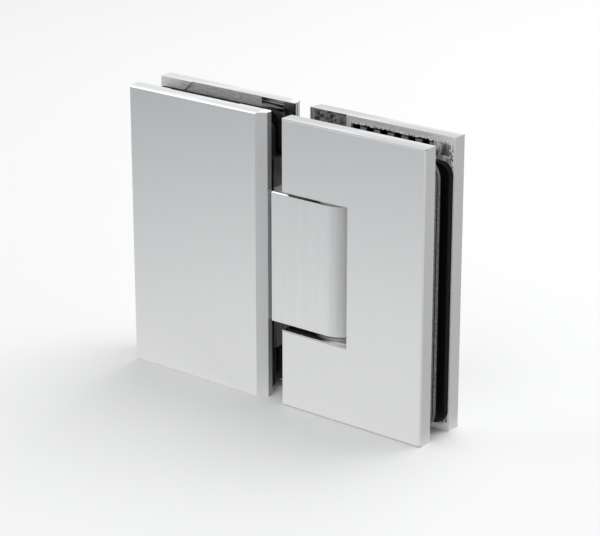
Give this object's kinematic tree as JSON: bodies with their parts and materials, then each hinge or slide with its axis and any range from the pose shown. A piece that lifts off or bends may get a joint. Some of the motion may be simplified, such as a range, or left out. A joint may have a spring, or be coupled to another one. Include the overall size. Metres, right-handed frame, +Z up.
{
  "type": "glass door hinge",
  "caption": "Glass-to-glass shower door hinge: square satin clamp plates with rubber gaskets on a fixed half and a door half, joined by a pivot knuckle.",
  "frame": {"origin": "centre of the hinge's bounding box in plan, at the level of the plates' lower edges", "axes": "+X along the width from the fixed half to the door half, -Y the front faces, +Z up along the pivot pin"},
  "size_m": [0.1104, 0.0198, 0.09],
  "materials": {
    "satin_plate": "satin chrome on solid metal, brushed along the height",
    "satin_block": "satin chrome on solid metal, brushed along the height",
    "gasket_rubber": "black sheet rubber",
    "bush_brass": "turned bearing brass",
    "washer_steel": "ground steel",
    "carrier_steel": "milled steel, not polished",
    "pin_steel": "ground hardened steel",
    "plunger_steel": "ground hardened steel",
    "spring_steel": "drawn spring wire",
    "screw_steel": "plain stainless steel"
  },
  "bodies": {
    "fixed_half": {"fixed_front_plate": "satin_plate", "fixed_back_plate": "satin_plate", "pivot_block": "satin_block", "lower_pin_bush": "bush_brass", "upper_pin_bush": "bush_brass", "lower_thrust_washer": "washer_steel", "upper_thrust_washer": "washer_steel", "block_screws": "screw_steel", "spring_screws": "screw_steel", "lower_detent_spring": "spring_steel", "upper_detent_spring": "spring_steel", "fixed_front_gasket": "gasket_rubber", "fixed_back_outer_gasket": "gasket_rubber", "fixed_back_inner_gasket": "gasket_rubber"},
    "door_half": {"door_front_plate": "satin_plate", "door_back_plate": "satin_plate", "lower_pin_carrier": "carrier_steel", "upper_pin_carrier": "carrier_steel", "pivot_pin": "pin_steel", "pin_grub_screws": "screw_steel", "carrier_screws": "screw_steel", "door_front_outer_gasket": "gasket_rubber", "door_front_inner_gasket": "gasket_rubber", "door_back_gasket": "gasket_rubber"},
    "upper_plunger": {"upper_detent_plunger": "plunger_steel"},
    "lower_plunger": {"lower_detent_plunger": "plunger_steel"}
  },
  "joints": [
    {"name": "door_swing", "type": "hinge", "parent": "fixed_half", "child": "door_half", "pos_m": [0.0193, 0, 0.0458], "axis": [0, 0, 1], "range_deg": [-90, 90]},
    {"name": "upper_plunger_slide", "type": "slide", "parent": "fixed_half", "child": "upper_plunger", "axis": [1, 0, 0], "range_m": [0, 0.0007], "stiffness_N_per_m": 12000, "springref_m": 0.0047, "deforming": ["upper_detent_spring"]},
    {"name": "lower_plunger_slide", "type": "slide", "parent": "fixed_half", "child": "lower_plunger", "axis": [1, 0, 0], "range_m": [0, 0.0007], "stiffness_N_per_m": 12000, "springref_m": 0.0047, "deforming": ["lower_detent_spring"]}
  ]
}
